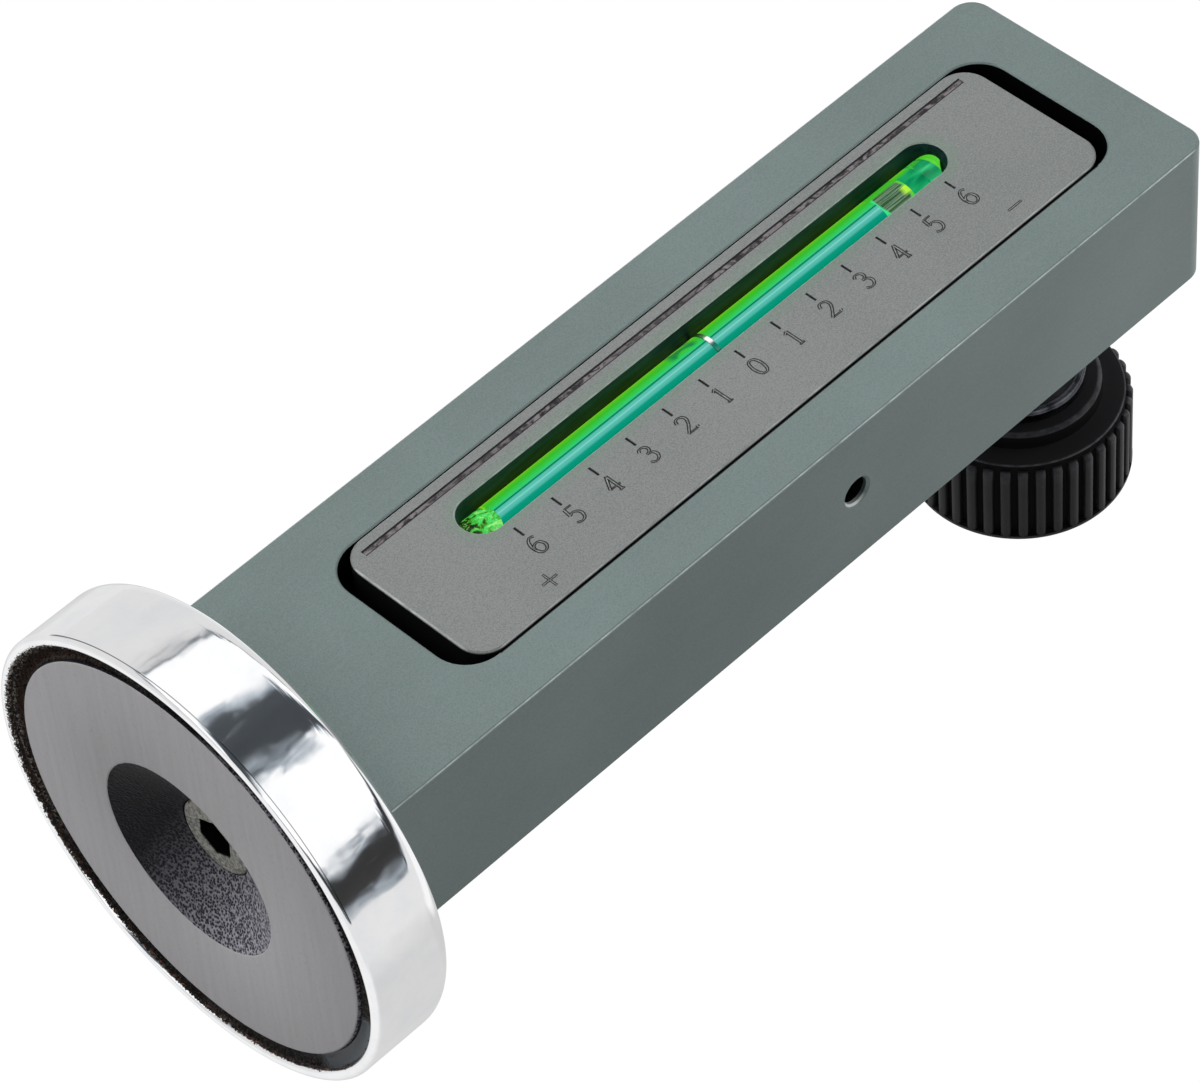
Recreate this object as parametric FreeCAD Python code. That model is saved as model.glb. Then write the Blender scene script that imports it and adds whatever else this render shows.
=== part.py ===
import FreeCAD, Part
import math
import os

V = FreeCAD.Vector

# Magnetic camber gauge. All lengths are millimetres.
# The origin is the middle of the magnet's working face, which grips a brake disc or hub.
# +X runs along the gauge away from the magnet, +Z is up, through the vial window.

# Magnet cup, a drawn and plated steel pot
cup_radius = 25.0
cup_depth = 9.8
cup_wall = 1.25
cup_floor = 1.05
cup_rim_round = 0.6
cup_lip_round = 0.4
cup_back_round = 2.1

# Ring magnet and the bond that holds it in the cup
bond_width = 1.65
magnet_recess = 0.4
magnet_edge_chamfer = 0.3
magnet_mouth_share = 0.4932
magnet_bore_clearance = 0.3
bond_recess = 0.45
bond_dip = 0.35
bond_clearance = 0.01

# Socket cap screw that holds the magnet on the body
magnet_screw_radius = 2.5
magnet_screw_reach = 12.0
magnet_screw_head_radius = 4.25
magnet_screw_head_height = 5.0
magnet_screw_head_round = 0.35
magnet_screw_socket_flats = 4.0
magnet_screw_socket_depth = 2.5
magnet_screw_turn_degrees = 4.5
magnet_screw_point = 0.8
magnet_screw_hole_clearance = 0.25
magnet_screw_hole_spare = 2.0

# Body, milled from a bar
body_length = 114.0
body_width = 31.5
body_height = 18.08
body_rise = 0.14
body_corner_radius = 2.5
body_edge_chamfer = 0.25

# Pocket for the rocker
pocket_setback = 17.7
pocket_end_gap = 2.1
pocket_side_gap = 0.2
pocket_corner_radius = 4.0
pocket_floor_share = 0.2157
pocket_edge_chamfer = 0.15

# Rocker, the bar that carries the vial
rocker_length = 86.25
rocker_width = 19.2
rocker_gap_share = 0.1438
rocker_proud = 0.07
rocker_corner_radius = 3.0
rocker_edge_chamfer = 0.15

# Pivot pin, across the middle of the pocket
pivot_web_share = 0.482
pin_radius = 1.5
pin_recess = 2.6
pin_edge_chamfer = 0.25
pin_fit_clearance = 0.01
pin_run_clearance = 0.04
pin_mouth_chamfer = 0.3

# Vial: a clear tube with a plug in each end
vial_length = 64.8
vial_radius = 2.4
vial_wall = 0.65
vial_offset = 3.37
vial_sink = 0.92
vial_end_round = 2.0
vial_slot_clearance = 0.1
vial_slot_chamfer = 0.12
plug_cap = 1.8
near_spigot = 1.9
far_spigot = 0.6
fill_clearance = 0.02
bed_thickness = 0.23
bed_rise = 1.1

# Index ring, set in a groove round the middle of the vial
ring_width = 0.45
ring_thickness = 0.26
ring_proud = 0.05

# Bubble, at rest where the gauge reads between four and a half and five and a half
bubble_length = 4.4
bubble_radius = 1.35
bubble_top_gap = 0.05
bubble_rest_gap = 1.9

# Engraved scale: one tick to each degree, and a border line along the far edge
scale_end_inset = 2.67
tick_length = 1.38
tick_width = 0.28
tick_slot_gap = 1.08
degrees_each_way = 6
border_width = 0.8
border_edge_gap = 1.2
border_end_gap = 1.9
engraving_depth = 0.12

# Adjusting screw and the pad in the rocker that its tip presses on
screw_radius = 2.5
screw_run_clearance = 0.06
screw_tip_radius = 1.75
screw_tip_length = 2.0
screw_tip_bulge = 0.5
screw_tip_gap = 0.1
screw_neck_chamfer = 0.5
screw_head_flats = 8.0
screw_head_height = 3.5
screw_head_cover = 2.2
pad_radius = 2.2
pad_thickness = 1.2
pad_wall = 0.58
pad_clearance = 0.02

# Knob: a moulded disc with a raised boss, ribs round its side and a plain band at its foot
knob_radius = 11.85
knob_height = 10.65
knob_edge_round = 0.25
knob_foot_round = 0.4
knob_gap = 18.2
boss_radius = 8.65
boss_height = 1.95
boss_rim_round = 0.55
boss_foot_round = 0.4
rib_count = 40
rib_height = 0.75
rib_width = 1.0
rib_crown = 0.2
rib_drop = 0.75
rib_turn_degrees = 8.0
foot_band = 0.6
knob_dish_radius = 8.5
knob_dish_depth = 0.6
moulding_clearance = 0.01

# Spring between knob and body, and the washer the knob turns against
spring_coil_radius = 6.5
spring_wire_radius = 0.5
spring_turns = 5
washer_radius = 6.9
washer_thickness = 0.5
washer_clearance = 0.25
spring_seat_gap = 0.06

# Return spring, under the magnet end of the rocker
return_coil_radius = 2.2
return_wire_radius = 0.3
return_turns = 4
return_inset = 9.1
return_floor_seat = 2.2
return_rocker_seat = 3.0
return_seat_clearance = 0.5

# Cutting tools run this far past the faces they cut
overrun = 1.0

# Places that follow from the sizes above
cup_inner_floor = cup_depth - cup_floor
cup_inner_radius = cup_radius - cup_wall
magnet_radius = cup_inner_radius - bond_width
body_near = cup_depth
body_far = body_near + body_length
body_top = body_rise + body_height / 2
body_bottom = body_top - body_height
pocket_length = rocker_length + 2 * pocket_end_gap
pocket_width = rocker_width + 2 * pocket_side_gap
pocket_near = body_near + pocket_setback
pocket_floor = body_height * pocket_floor_share
pocket_floor_z = body_bottom + pocket_floor
middle_x = pocket_near + pocket_length / 2
rocker_near = middle_x - rocker_length / 2
rocker_far = middle_x + rocker_length / 2
rocker_top = body_top + rocker_proud
rocker_bottom = pocket_floor_z + body_height * rocker_gap_share
vial_near = middle_x - vial_length / 2
vial_far = middle_x + vial_length / 2
tick_pitch = (vial_length / 2 - scale_end_inset) / degrees_each_way
vial_axis_z = rocker_top - vial_sink - vial_radius
vial_bore = vial_radius - vial_wall
slot_radius = vial_radius + vial_slot_clearance
slot_length = vial_length + 2 * (slot_radius - vial_end_round)
slot_floor_z = vial_axis_z - vial_radius - bed_thickness
pivot_z = slot_floor_z - (slot_floor_z - rocker_bottom) * pivot_web_share
tube_near = vial_near + plug_cap
tube_far = vial_far - plug_cap
fill_near = tube_near + near_spigot
fill_far = tube_far - far_spigot
screw_x = rocker_far - pad_radius - pad_wall
screw_tip_z = rocker_bottom - screw_tip_gap
boss_top_z = body_bottom - knob_gap
knob_core_radius = knob_radius - rib_height
knob_face_z = boss_top_z - boss_height
knob_foot_z = knob_face_z - knob_height
rib_top_z = knob_face_z - rib_drop
rib_foot_z = knob_foot_z + foot_band
spring_foot_z = boss_top_z + washer_thickness
return_x = rocker_near + return_inset
return_foot_z = pocket_floor_z - return_floor_seat
return_top_z = rocker_bottom + return_rocker_seat


# Outlines are chains of points. A point is (a, b), or (a, b, mid_a, mid_b)
# where an arc through the middle point leads to it from the one before.
def chain_wire(points, place):
    edges = []
    last = place(points[0][0], points[0][1])
    for step in points[1:] + points[:1]:
        here = place(step[0], step[1])
        if len(step) == 4:
            edges.append(Part.Arc(last, place(step[2], step[3]), here).toShape())
        elif here.distanceToPoint(last) > 0:
            edges.append(Part.LineSegment(last, here).toShape())
        last = here
    return Part.Wire(edges)


# A corner rounded by a quarter circle, given as the point where the arc ends.
# It leads from the last point to one corner of a square of side "radius".
def rounded(corner_a, corner_b, radius, from_a, from_b, to_a, to_b):
    start = (corner_a + from_a * radius, corner_b + from_b * radius)
    end = (corner_a + to_a * radius, corner_b + to_b * radius)
    centre = (start[0] + to_a * radius, start[1] + to_b * radius)
    out = 1 / math.sqrt(2)
    middle = (
        centre[0] - (from_a + to_a) * radius * out,
        centre[1] - (from_b + to_b) * radius * out,
    )
    return [start, (end[0], end[1], middle[0], middle[1])]


# Solid of revolution about a line along X; the outline is in (x, radius).
def turned_x(points, y, z):
    wire = chain_wire(points, lambda x, r: V(x, y, z + r))
    face = Part.Face(wire)
    return Part.Solid(face.revolve(V(0, y, z), V(1, 0, 0), 360))


# Solid of revolution about a line along Z; the outline is in (radius, z).
def turned_z(points, x, y):
    wire = chain_wire(points, lambda r, z: V(x + r, y, z))
    face = Part.Face(wire)
    return Part.Solid(face.revolve(V(x, y, 0), V(0, 0, 1), 360))


# Rectangle with rounded corners in plan, extruded upwards.
def rounded_block(x_near, x_far, width, y_middle, radius, z_low, z_high):
    low = y_middle - width / 2
    high = y_middle + width / 2
    points = []
    points += rounded(x_far, low, radius, -1, 0, 0, 1)
    points += rounded(x_far, high, radius, 0, -1, -1, 0)
    points += rounded(x_near, high, radius, 1, 0, 0, -1)
    points += rounded(x_near, low, radius, 0, 1, 1, 0)
    wire = chain_wire(points, lambda x, y: V(x, y, z_low))
    return Part.Face(wire).extrude(V(0, 0, z_high - z_low))


# Slot in plan: a strip along X with half-round ends, extruded upwards.
def stadium(length, radius, y, z_low, z_high):
    near = middle_x - length / 2
    far = middle_x + length / 2
    points = [
        (near + radius, y - radius, near, y),
        (far - radius, y - radius),
        (far - radius, y + radius, far, y),
        (near + radius, y + radius),
    ]
    wire = chain_wire(points, lambda a, b: V(a, b, z_low))
    return Part.Face(wire).extrude(V(0, 0, z_high - z_low))


# Edges that lie wholly at one height.
def edges_at(shape, z, tolerance_share=0.001):
    reach = tolerance_share * body_height
    return [e for e in shape.Edges if abs(e.BoundBox.ZMin - z) < reach and abs(e.BoundBox.ZMax - z) < reach]


# Hexagonal prism along a direction, by its width across flats.
def hexagon(across_flats, base, direction, height, side):
    corner = across_flats / math.sqrt(3)
    other = direction.cross(side)
    points = []
    for k in range(6):
        turn = math.radians(60 * k)
        points.append(base + side * (corner * math.cos(turn)) + other * (corner * math.sin(turn)))
    wire = Part.makePolygon(points + points[:1])
    return Part.Face(wire).extrude(direction * height)


# Helix of quarter turns, each two arcs that share their tangents.
def helix_edges(x, y, z_start, z_end, radius, turns):
    rise = (z_end - z_start) / (2 * math.pi * turns)
    quarters = int(4 * turns)

    def point(k):
        turn = k * math.pi / 2
        return V(x + radius * math.cos(turn), y + radius * math.sin(turn), z_start + rise * turn)

    def tangent(k):
        turn = k * math.pi / 2
        return V(-radius * math.sin(turn), radius * math.cos(turn), rise).normalize()

    edges = []
    route = [point(0)]
    for k in range(quarters):
        a, b, s, t = point(k), point(k + 1), tangent(k), tangent(k + 1)
        span = b - a
        along = span.dot(s + t)
        bend = 2 * (1 - s.dot(t))
        reach = (math.sqrt(along * along + bend * span.dot(span)) - along) / bend
        turn_a = a + s * reach
        turn_b = b - t * reach
        joint = (turn_a + turn_b) * 0.5
        for start, corner, end in ((a, turn_a, joint), (joint, turn_b, b)):
            chord = (start + end) * 0.5
            cosine = (start - chord).Length / reach
            top = chord + (corner - chord) * (cosine / (1 + cosine))
            edges.append(Part.Arc(start, top, end).toShape())
            route += [top, end]
    return edges, route, tangent(0), tangent(quarters)


# Coil spring in one unbroken tube, its wire ends straight for one diameter.
def coil_spring(x, y, z_low, z_high, coil_radius, wire_radius, turns):
    seat = wire_radius + spring_seat_gap
    edges, route, first, last = helix_edges(x, y, z_low + seat, z_high - seat, coil_radius, turns)
    tail = 2 * wire_radius
    start = route[0] - first * tail
    end = route[-1] + last * tail
    edges = [Part.LineSegment(start, route[0]).toShape()] + edges + [Part.LineSegment(route[-1], end).toShape()]
    path = Part.Wire(edges)
    ring = Part.Wire([Part.Circle(start, first, wire_radius).toShape()])
    tube = Part.BRepOffsetAPI.MakePipeShell(path)
    tube.add(ring)
    tube.build()
    tube.makeSolid()
    return tube.shape(), [start] + route + [end]


# Least gap between turns: the nearest two points of the route half a turn or more apart.
def least_self_gap(route, wire_radius):
    half_turn_count = 8
    near = min(
        (route[i] - route[j]).Length for i in range(len(route)) for j in range(i + half_turn_count, len(route))
    )
    return near - 2 * wire_radius


# Pivot hole or pin along Y, centred on the pocket.
def cross_bar(radius, half_length):
    return Part.makeCylinder(radius, 2 * half_length, V(middle_x, -half_length, pivot_z), V(0, 1, 0))


def magnet_cup():
    points = []
    points += rounded(0, cup_inner_radius, cup_lip_round, 1, 0, 0, 1)
    points += rounded(0, cup_radius, cup_rim_round, 0, -1, 1, 0)
    points += rounded(cup_depth, cup_radius, cup_back_round, -1, 0, 0, -1)
    points += [(cup_depth, magnet_screw_radius + magnet_screw_hole_clearance)]
    points += [(cup_inner_floor, magnet_screw_radius + magnet_screw_hole_clearance)]
    points += [(cup_inner_floor, cup_inner_radius)]
    return turned_x(points, 0, 0)


def ring_magnet():
    bore = magnet_screw_head_radius + magnet_bore_clearance
    head_face = cup_inner_floor - magnet_screw_head_height
    points = []
    points += [(magnet_recess, magnet_radius * magnet_mouth_share)]
    points += [(magnet_recess, magnet_radius - magnet_edge_chamfer), (magnet_recess + magnet_edge_chamfer, magnet_radius)]
    points += [(cup_inner_floor, magnet_radius), (cup_inner_floor, bore), (head_face, bore)]
    return turned_x(points, 0, 0)


def magnet_bond():
    inner = magnet_radius + bond_clearance
    outer = cup_inner_radius - bond_clearance
    face = magnet_recess + bond_recess
    middle = (inner + outer) / 2
    points = [(face, inner), (face + bond_dip, middle), (face, outer)]
    points += [(cup_inner_floor, outer), (cup_inner_floor, inner)]
    return turned_x(points, 0, 0)


def magnet_screw():
    head_face = cup_inner_floor - magnet_screw_head_height
    tip = body_near + magnet_screw_reach
    points = [(head_face, 0)]
    points += rounded(head_face, magnet_screw_head_radius, magnet_screw_head_round, 0, -1, 1, 0)
    points += [
        (cup_inner_floor, magnet_screw_head_radius),
        (cup_inner_floor, magnet_screw_radius),
        (tip - magnet_screw_point, magnet_screw_radius),
        (tip, magnet_screw_radius - magnet_screw_point),
        (tip, 0),
    ]
    screw = turned_x(points, 0, 0)
    base = V(head_face - overrun, 0, 0)
    reach = magnet_screw_socket_depth + overrun
    turn = math.radians(magnet_screw_turn_degrees)
    corner_way = V(0, -math.sin(turn), math.cos(turn))
    return screw.cut(hexagon(magnet_screw_socket_flats, base, V(1, 0, 0), reach, corner_way))


def body():
    low = -body_width / 2
    high = body_width / 2
    points = [(body_near, high), (body_near, low)]
    points += rounded(body_far, low, body_corner_radius, -1, 0, 0, 1)
    points += rounded(body_far, high, body_corner_radius, 0, -1, -1, 0)
    wire = chain_wire(points, lambda x, y: V(x, y, body_bottom))
    bar = Part.Face(wire).extrude(V(0, 0, body_height))
    bar = bar.makeChamfer(body_edge_chamfer, edges_at(bar, body_top) + edges_at(bar, body_bottom))
    pocket_far = pocket_near + pocket_length
    rim = pocket_edge_chamfer
    top = body_top
    pocket = rounded_block(
        pocket_near, pocket_far, pocket_width, 0, pocket_corner_radius, pocket_floor_z, top + overrun
    )
    bar = bar.cut(pocket)
    mouth = [e for e in edges_at(bar, top) if e.BoundBox.XMin > body_near + pocket_setback - rim]
    mouth = [e for e in mouth if e.BoundBox.XMax < pocket_far + rim and abs(e.BoundBox.Center.y) < pocket_width / 2 + rim]
    bar = bar.makeChamfer(rim, mouth)
    tools = [
        cross_bar(pin_radius + pin_fit_clearance, high + overrun),
        Part.makeCylinder(
            magnet_screw_radius + pin_fit_clearance,
            magnet_screw_reach + magnet_screw_hole_spare + overrun,
            V(body_near - overrun, 0, 0),
            V(1, 0, 0),
        ),
        Part.makeCylinder(
            screw_radius + screw_run_clearance,
            pocket_floor + 2 * overrun,
            V(screw_x, 0, body_bottom - overrun),
            V(0, 0, 1),
        ),
        Part.makeCylinder(
            return_coil_radius + return_wire_radius + return_seat_clearance,
            return_floor_seat + overrun,
            V(return_x, 0, return_foot_z),
            V(0, 0, 1),
        ),
    ]
    for side in (-1, 1):
        mouth_radius = pin_radius + pin_mouth_chamfer
        base = V(middle_x, side * high, pivot_z)
        tools.append(
            Part.makeCone(mouth_radius, pin_radius, pin_mouth_chamfer, base, V(0, -side, 0))
        )
    return bar.cut(tools)


def pivot_pin():
    half = body_width / 2 - pin_recess
    points = [
        (-half, 0),
        (-half, pin_radius - pin_edge_chamfer),
        (pin_edge_chamfer - half, pin_radius),
        (half - pin_edge_chamfer, pin_radius),
        (half, pin_radius - pin_edge_chamfer),
        (half, 0),
    ]
    wire = chain_wire(points, lambda y, r: V(middle_x, y, pivot_z + r))
    return Part.Solid(Part.Face(wire).revolve(V(middle_x, 0, pivot_z), V(0, 1, 0), 360))


def rocker():
    bar = rounded_block(
        rocker_near, rocker_far, rocker_width, 0, rocker_corner_radius, rocker_bottom, rocker_top
    )
    bar = bar.makeChamfer(rocker_edge_chamfer, edges_at(bar, rocker_top) + edges_at(bar, rocker_bottom))
    slot = stadium(slot_length, slot_radius, vial_offset, slot_floor_z, rocker_top + overrun)
    bar = bar.cut(slot)
    inside = slot_radius + vial_slot_chamfer
    mouth = [e for e in edges_at(bar, rocker_top) if abs(e.BoundBox.Center.y - vial_offset) < inside]
    mouth = [e for e in mouth if e.BoundBox.YMax - e.BoundBox.YMin < 2 * inside]
    mouth = [e for e in mouth if e.BoundBox.XMin > rocker_near + rocker_corner_radius]
    mouth = [e for e in mouth if e.BoundBox.XMax < rocker_far - rocker_corner_radius]
    bar = bar.makeChamfer(vial_slot_chamfer, mouth)
    tools = [
        cross_bar(pin_radius + pin_run_clearance, rocker_width / 2 + overrun),
        Part.makeCylinder(
            pad_radius + pad_clearance,
            pad_thickness + overrun,
            V(screw_x, 0, rocker_bottom - overrun),
            V(0, 0, 1),
        ),
        Part.makeCylinder(
            return_coil_radius + return_wire_radius + return_seat_clearance,
            return_rocker_seat + overrun,
            V(return_x, 0, rocker_bottom - overrun),
            V(0, 0, 1),
        ),
    ]
    depth = engraving_depth + overrun
    tick_top = vial_offset - slot_radius - tick_slot_gap
    for k in range(-degrees_each_way, degrees_each_way + 1):
        corner = V(
            middle_x + k * tick_pitch - tick_width / 2,
            tick_top - tick_length,
            rocker_top - engraving_depth,
        )
        tools.append(Part.makeBox(tick_width, tick_length, depth, corner))
    border = V(
        rocker_near + border_end_gap,
        rocker_width / 2 - border_edge_gap - border_width,
        rocker_top - engraving_depth,
    )
    tools.append(Part.makeBox(rocker_length - 2 * border_end_gap, border_width, depth, border))
    return bar.cut(tools)


def screw_pad():
    return Part.makeCylinder(pad_radius, pad_thickness, V(screw_x, 0, rocker_bottom), V(0, 0, 1))


# Outline of the vial's outside, plug and all, grown by a margin.
def vial_envelope(margin):
    radius = vial_radius + margin
    near = vial_near - margin
    far = vial_far + margin
    turn = vial_end_round + margin
    points = [(near, 0)]
    points += rounded(near, radius, turn, 0, -1, 1, 0)
    points += rounded(far, radius, turn, -1, 0, 0, -1)
    points += [(far, 0)]
    return turned_x(points, vial_offset, vial_axis_z)


# Space inside the tube between two places, less a margin all round.
def vial_space(near, far, margin):
    base = V(near + margin, vial_offset, vial_axis_z)
    return Part.makeCylinder(vial_bore - margin, far - near - 2 * margin, base, V(1, 0, 0))


def ring_cut(inner, outer, width):
    base = V(middle_x - width / 2, vial_offset, vial_axis_z)
    disc = Part.makeCylinder(outer, width, base, V(1, 0, 0))
    return disc.cut(Part.makeCylinder(inner, width, base, V(1, 0, 0)))


# Part of the vial's outside that lies beyond a place, towards +X or -X.
def vial_end(x, way):
    reach = vial_length
    beyond = Part.makeCylinder(vial_radius + overrun, reach, V(x, vial_offset, vial_axis_z), V(way, 0, 0))
    return vial_envelope(0).common(beyond)


def vial_tube():
    groove_floor = vial_radius + ring_proud - ring_thickness - fill_clearance
    groove = ring_cut(groove_floor, vial_radius + overrun, ring_width + 2 * fill_clearance)
    tube = vial_end(tube_near, 1).common(vial_end(tube_far, -1))
    return tube.cut([groove, vial_space(tube_near - overrun, tube_far + overrun, 0)])


def vial_plug(cap, spigot_near, spigot_far):
    base = V(spigot_near, vial_offset, vial_axis_z)
    length = spigot_far - spigot_near
    spigot = Part.makeCylinder(vial_bore - fill_clearance, length, base, V(1, 0, 0))
    return cap.fuse(spigot).removeSplitter()


def near_plug():
    return vial_plug(vial_end(tube_near, -1), tube_near, fill_near)


def far_plug():
    return vial_plug(vial_end(tube_far, 1), fill_far, tube_far)


def bubble_shape(margin):
    radius = bubble_radius + margin
    half = bubble_length / 2 + margin
    middle = fill_far - bubble_rest_gap - bubble_length / 2
    lift = vial_bore - bubble_top_gap - bubble_radius
    near = middle - half
    far = middle + half
    points = [(near, 0)]
    points += rounded(near, radius, radius, 0, -1, 1, 0)[1:]
    points += rounded(far, radius, radius, -1, 0, 0, -1)
    return turned_x(points, vial_offset, vial_axis_z + lift)


def vial_liquid():
    return vial_space(fill_near, fill_far, fill_clearance).cut(bubble_shape(fill_clearance))


def index_ring():
    outer = vial_radius + ring_proud
    return ring_cut(outer - ring_thickness, outer, ring_width)


def vial_bed():
    top = slot_floor_z + bed_rise
    length = slot_length - 2 * fill_clearance
    strip = stadium(length, slot_radius - fill_clearance, vial_offset, slot_floor_z, top)
    outer = vial_radius + ring_proud + fill_clearance
    groove = ring_cut(vial_bore, outer, ring_width + 2 * fill_clearance)
    return strip.cut([vial_envelope(fill_clearance), groove])


def thrust_washer():
    base = V(screw_x, 0, boss_top_z)
    disc = Part.makeCylinder(washer_radius, washer_thickness, base, V(0, 0, 1))
    hole = Part.makeCylinder(screw_radius + washer_clearance, washer_thickness, base, V(0, 0, 1))
    return disc.cut(hole)


# The screw's shank and the hexagonal head that is moulded into the knob.
def screw_form(margin):
    head_low = knob_foot_z + knob_dish_depth + screw_head_cover
    shank = Part.makeCylinder(
        screw_radius + margin, boss_top_z - head_low, V(screw_x, 0, head_low), V(0, 0, 1)
    )
    base = V(screw_x, 0, head_low - margin)
    head = hexagon(
        screw_head_flats + 2 * margin, base, V(0, 0, 1), screw_head_height + 2 * margin, V(1, 0, 0)
    )
    return shank.fuse(head)


def adjusting_screw():
    tip_low = screw_tip_z - screw_tip_length
    neck = screw_radius - screw_neck_chamfer
    dome_edge = screw_tip_z - screw_tip_bulge
    dome_radius = (screw_tip_radius ** 2 + screw_tip_bulge ** 2) / (2 * screw_tip_bulge)
    half_turn = math.asin(screw_tip_radius / dome_radius) / 2
    dome_middle = (
        dome_radius * math.sin(half_turn),
        screw_tip_z - dome_radius * (1 - math.cos(half_turn)),
    )
    points = [
        (0, boss_top_z),
        (screw_radius, boss_top_z),
        (screw_radius, tip_low - screw_neck_chamfer),
        (neck, tip_low),
        (screw_tip_radius, tip_low),
        (screw_tip_radius, dome_edge),
        (0, screw_tip_z, dome_middle[0], dome_middle[1]),
    ]
    rod = turned_z(points, screw_x, 0)
    return rod.fuse(screw_form(0)).removeSplitter()


def knob():
    points = [(0, boss_top_z)]
    points += rounded(boss_radius, boss_top_z, boss_rim_round, -1, 0, 0, -1)
    points += rounded(boss_radius, knob_face_z, boss_foot_round, 0, 1, 1, 0)
    points += rounded(knob_core_radius, knob_face_z, knob_edge_round, -1, 0, 0, -1)
    points += [(knob_core_radius, rib_foot_z), (knob_radius, rib_foot_z)]
    points += rounded(knob_radius, knob_foot_z, knob_foot_round, 0, 1, -1, 0)
    points += [
        (knob_dish_radius, knob_foot_z),
        (knob_dish_radius - knob_dish_depth, knob_foot_z + knob_dish_depth),
        (0, knob_foot_z + knob_dish_depth),
    ]
    blank = turned_z(points, screw_x, 0)
    half = rib_width / 2
    root = knob_core_radius - overrun
    flank = knob_radius - rib_crown
    section = [(root, half), (root, -half), (flank, -half), (flank, half, knob_radius, 0)]
    wire = chain_wire(section, lambda x, y: V(screw_x + x, y, rib_foot_z))
    rib = Part.Face(wire).extrude(V(0, 0, rib_top_z - rib_foot_z))
    ribs = []
    for k in range(rib_count):
        copy = rib.copy()
        copy.rotate(V(screw_x, 0, 0), V(0, 0, 1), rib_turn_degrees + 360 * k / rib_count)
        ribs.append(copy)
    return blank.fuse(ribs).removeSplitter().cut(screw_form(moulding_clearance))


def knob_spring():
    shape, route = coil_spring(
        screw_x, 0, spring_foot_z, body_bottom, spring_coil_radius, spring_wire_radius, spring_turns
    )
    print("knob spring, least gap between turns:", round(least_self_gap(route, spring_wire_radius), 3))
    return shape


def return_spring():
    shape, route = coil_spring(
        return_x, 0, return_foot_z, return_top_z, return_coil_radius, return_wire_radius, return_turns
    )
    print("return spring, least gap between turns:", round(least_self_gap(route, return_wire_radius), 3))
    return shape


def bubble():
    return bubble_shape(0)


parts = {
    "body": body,
    "magnet_cup": magnet_cup,
    "ring_magnet": ring_magnet,
    "magnet_bond": magnet_bond,
    "magnet_screw": magnet_screw,
    "pivot_pin": pivot_pin,
    "rocker": rocker,
    "screw_pad": screw_pad,
    "vial_tube": vial_tube,
    "near_plug": near_plug,
    "far_plug": far_plug,
    "vial_liquid": vial_liquid,
    "vial_bubble": bubble,
    "vial_bed": vial_bed,
    "index_ring": index_ring,
    "adjusting_screw": adjusting_screw,
    "knob": knob,
    "knob_spring": knob_spring,
    "thrust_washer": thrust_washer,
    "return_spring": return_spring,
}

os.makedirs("parts", exist_ok=True)
for name, make in parts.items():
    shape = make()
    print(name, "solids", len(shape.Solids), "valid", shape.isValid(), "volume", round(shape.Volume, 2))
    shape.exportStep("parts/" + name + ".step")
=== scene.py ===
import functools
import math
import random

import bmesh
import bpy
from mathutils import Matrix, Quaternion, Vector


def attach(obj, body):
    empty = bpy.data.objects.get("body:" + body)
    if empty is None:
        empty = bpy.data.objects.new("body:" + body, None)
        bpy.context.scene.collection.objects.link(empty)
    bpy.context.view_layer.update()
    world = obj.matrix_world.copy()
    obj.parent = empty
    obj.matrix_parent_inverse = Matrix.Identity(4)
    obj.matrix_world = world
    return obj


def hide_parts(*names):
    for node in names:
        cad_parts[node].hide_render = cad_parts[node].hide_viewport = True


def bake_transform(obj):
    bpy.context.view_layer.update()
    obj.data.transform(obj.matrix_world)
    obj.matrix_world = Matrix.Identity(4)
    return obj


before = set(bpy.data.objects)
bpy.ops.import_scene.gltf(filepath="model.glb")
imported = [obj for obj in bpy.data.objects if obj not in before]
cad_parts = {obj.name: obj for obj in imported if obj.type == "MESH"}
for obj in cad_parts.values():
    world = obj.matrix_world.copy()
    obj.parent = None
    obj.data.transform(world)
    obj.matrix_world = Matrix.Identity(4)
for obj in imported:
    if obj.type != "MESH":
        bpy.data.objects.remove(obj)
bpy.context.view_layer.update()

random.seed(7)

# Sizes are in millimetres and become metres where a mesh or a material is made.
MM = 0.001

# Bar, plate and pivot
MIDDLE = 72.725
BAR_HALF = 15.75
PIVOT_Z = 0.5525
BAR_FOOT = -8.9
TOP_Z = 9.25

# Magnet in its cup, whose rim is at x = 0
CUP_RADIUS = 25.0
CUP_DEPTH = 9.8
CUP_BORE = 23.75
CUP_FLOOR = 8.75
MAGNET_FACE = 0.4
MAGNET_RADIUS = 22.1
HEAD_FACE = 3.8

# Vial
VIAL_Y = 3.37
VIAL_Z = 5.93
VIAL_NEAR = 40.33
VIAL_FAR = 105.12
CORE_RADIUS = 1.72
PLUG_ROUND = 2.13
BUBBLE_X = 98.625
GLOW = 0.8

# Knob and springs
KNOB_X = 113.07
BOSS_TOP = -27.1
KNOB_FACE = BOSS_TOP - 1.95
RIBS = 40
RETURN_X = 38.7


# Node material helpers

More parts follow.
